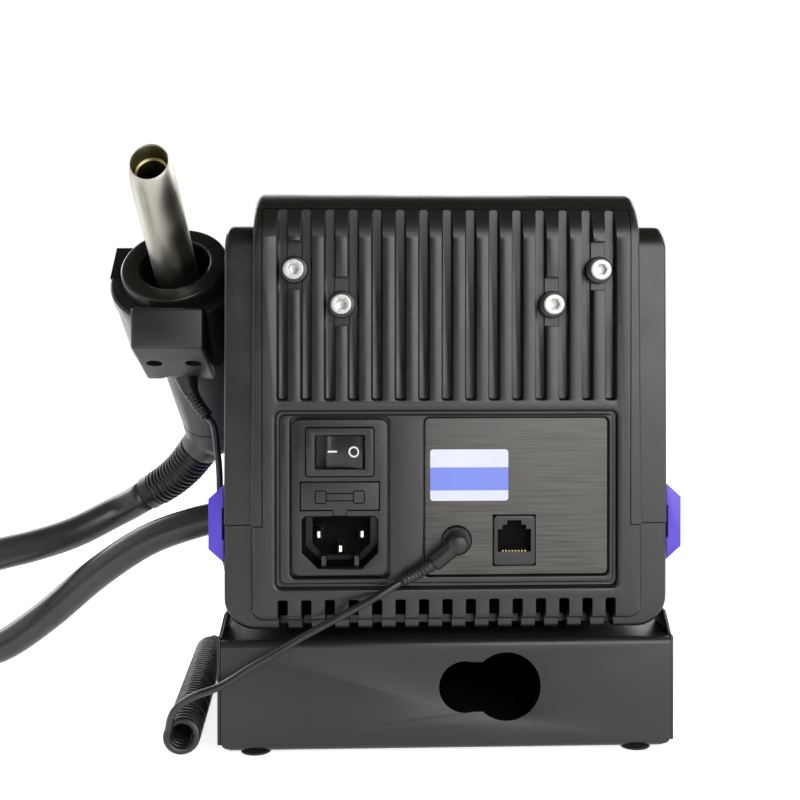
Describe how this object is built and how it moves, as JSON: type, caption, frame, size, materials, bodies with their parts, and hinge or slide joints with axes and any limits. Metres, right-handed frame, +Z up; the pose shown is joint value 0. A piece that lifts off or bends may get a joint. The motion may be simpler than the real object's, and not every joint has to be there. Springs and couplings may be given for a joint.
{
  "type": "hot air rework station",
  "caption": "Bench hot air rework station seen from behind: ribbed black housing with blue side rails on a metal base, and a hot air gun with hose and standby cord in a side cradle.",
  "frame": {"origin": "bottom centre of the box of the station with its gun, without its free cords", "axes": "+Z up; +Y to the rear, where the mains inlet is; +X to the side that carries the gun's cradle"},
  "size_m": [0.4201, 0.2593, 0.1942],
  "materials": {
    "black_plastic": "fine satin texture",
    "dark_plastic": "satin",
    "black_metal": "fine powder coat",
    "rail_blue": "satin",
    "nozzle_steel": "satin drawn tube",
    "screw_steel": "plated",
    "rubber": "satin",
    "hose_rubber": "satin",
    "brushed_dark": "dark brushed",
    "window": "polished",
    "fuse_glass": "clear",
    "ceramic": "matte",
    "pump_metal": "grey",
    "board": "laminate"
  },
  "bodies": {
    "station": {"air_hose_coil": "hose_rubber", "air_hose_lower": "hose_rubber", "air_hose_upper": "hose_rubber", "air_pump": "pump_metal", "base_cover": "black_metal", "base_tray": "black_metal", "bracket_screw_1": "black_metal", "bracket_screw_2": "black_metal", "connector_plate": "brushed_dark", "control_board": "board", "cover_screw_1": "screw_steel", "cover_screw_2": "screw_steel", "cover_screw_3": "screw_steel", "cover_screw_4": "screw_steel", "cradle": "black_plastic", "cradle_bracket": "black_metal", "data_socket": "black_plastic", "display_window": "window", "foot_1": "rubber", "foot_2": "rubber", "foot_3": "rubber", "foot_4": "rubber", "front_fascia": "black_plastic", "hose_gland": "black_plastic", "inlet_body": "black_plastic", "inlet_pin_earth": "screw_steel", "inlet_pin_line": "screw_steel", "inlet_pin_neutral": "screw_steel", "inner_air_tube": "rubber", "lower_shell": "black_plastic", "mains_transformer": "pump_metal", "power_board": "board", "pump_pad": "rubber", "sensor_boot": "rubber", "sensor_box": "black_metal", "sensor_cord": "rubber", "side_rail_left": "rail_blue", "side_rail_right": "rail_blue", "standby_cord": "rubber", "standby_curl": "rubber", "standby_jack": "black_plastic", "standby_plug": "rubber", "upper_shell": "black_plastic"},
    "rocker": {"power_rocker": "black_plastic"},
    "drawer": {"fuse_drawer": "black_plastic", "fuse": "fuse_glass"},
    "knob_temperature": {"temperature_knob": "dark_plastic"},
    "knob_air": {"air_knob": "dark_plastic"},
    "button_1": {"preset_button_1": "dark_plastic"},
    "button_2": {"preset_button_2": "dark_plastic"},
    "button_3": {"preset_button_3": "dark_plastic"},
    "gun": {"nozzle_tube": "nozzle_steel", "heater_core": "ceramic", "tube_collar": "ceramic", "guard_ring": "dark_plastic", "handle_shell": "dark_plastic", "end_cap": "dark_plastic", "hose_boot": "rubber"}
  },
  "joints": [
    {"name": "rocker_hinge", "type": "hinge", "parent": "station", "child": "rocker", "pos_m": [0.01088, 0.1061, 0.0953], "axis": [0, 0, 1], "range_deg": [0, 14]},
    {"name": "drawer_slide", "type": "slide", "parent": "station", "child": "drawer", "axis": [0, 1, 0], "range_m": [0, 0.02]},
    {"name": "temperature_turn", "type": "hinge", "parent": "station", "child": "knob_temperature", "pos_m": [-0.05232, -0.0986, 0.07], "axis": [0, 1, 0], "range_deg": [-135, 135]},
    {"name": "air_turn", "type": "hinge", "parent": "station", "child": "knob_air", "pos_m": [0.00768, -0.0986, 0.07], "axis": [0, 1, 0], "range_deg": [-135, 135]},
    {"name": "button_1_press", "type": "slide", "parent": "station", "child": "button_1", "axis": [0, 1, 0], "range_m": [0, 0.0015], "stiffness_N_per_m": 350},
    {"name": "button_2_press", "type": "slide", "parent": "station", "child": "button_2", "axis": [0, 1, 0], "range_m": [0, 0.0015], "stiffness_N_per_m": 350},
    {"name": "button_3_press", "type": "slide", "parent": "station", "child": "button_3", "axis": [0, 1, 0], "range_m": [0, 0.0015], "stiffness_N_per_m": 350},
    {"name": "gun_lift", "type": "slide", "parent": "station", "child": "gun", "axis": [0.0593, 0.712, 0.6997], "range_m": [0, 0.045]}
  ]
}
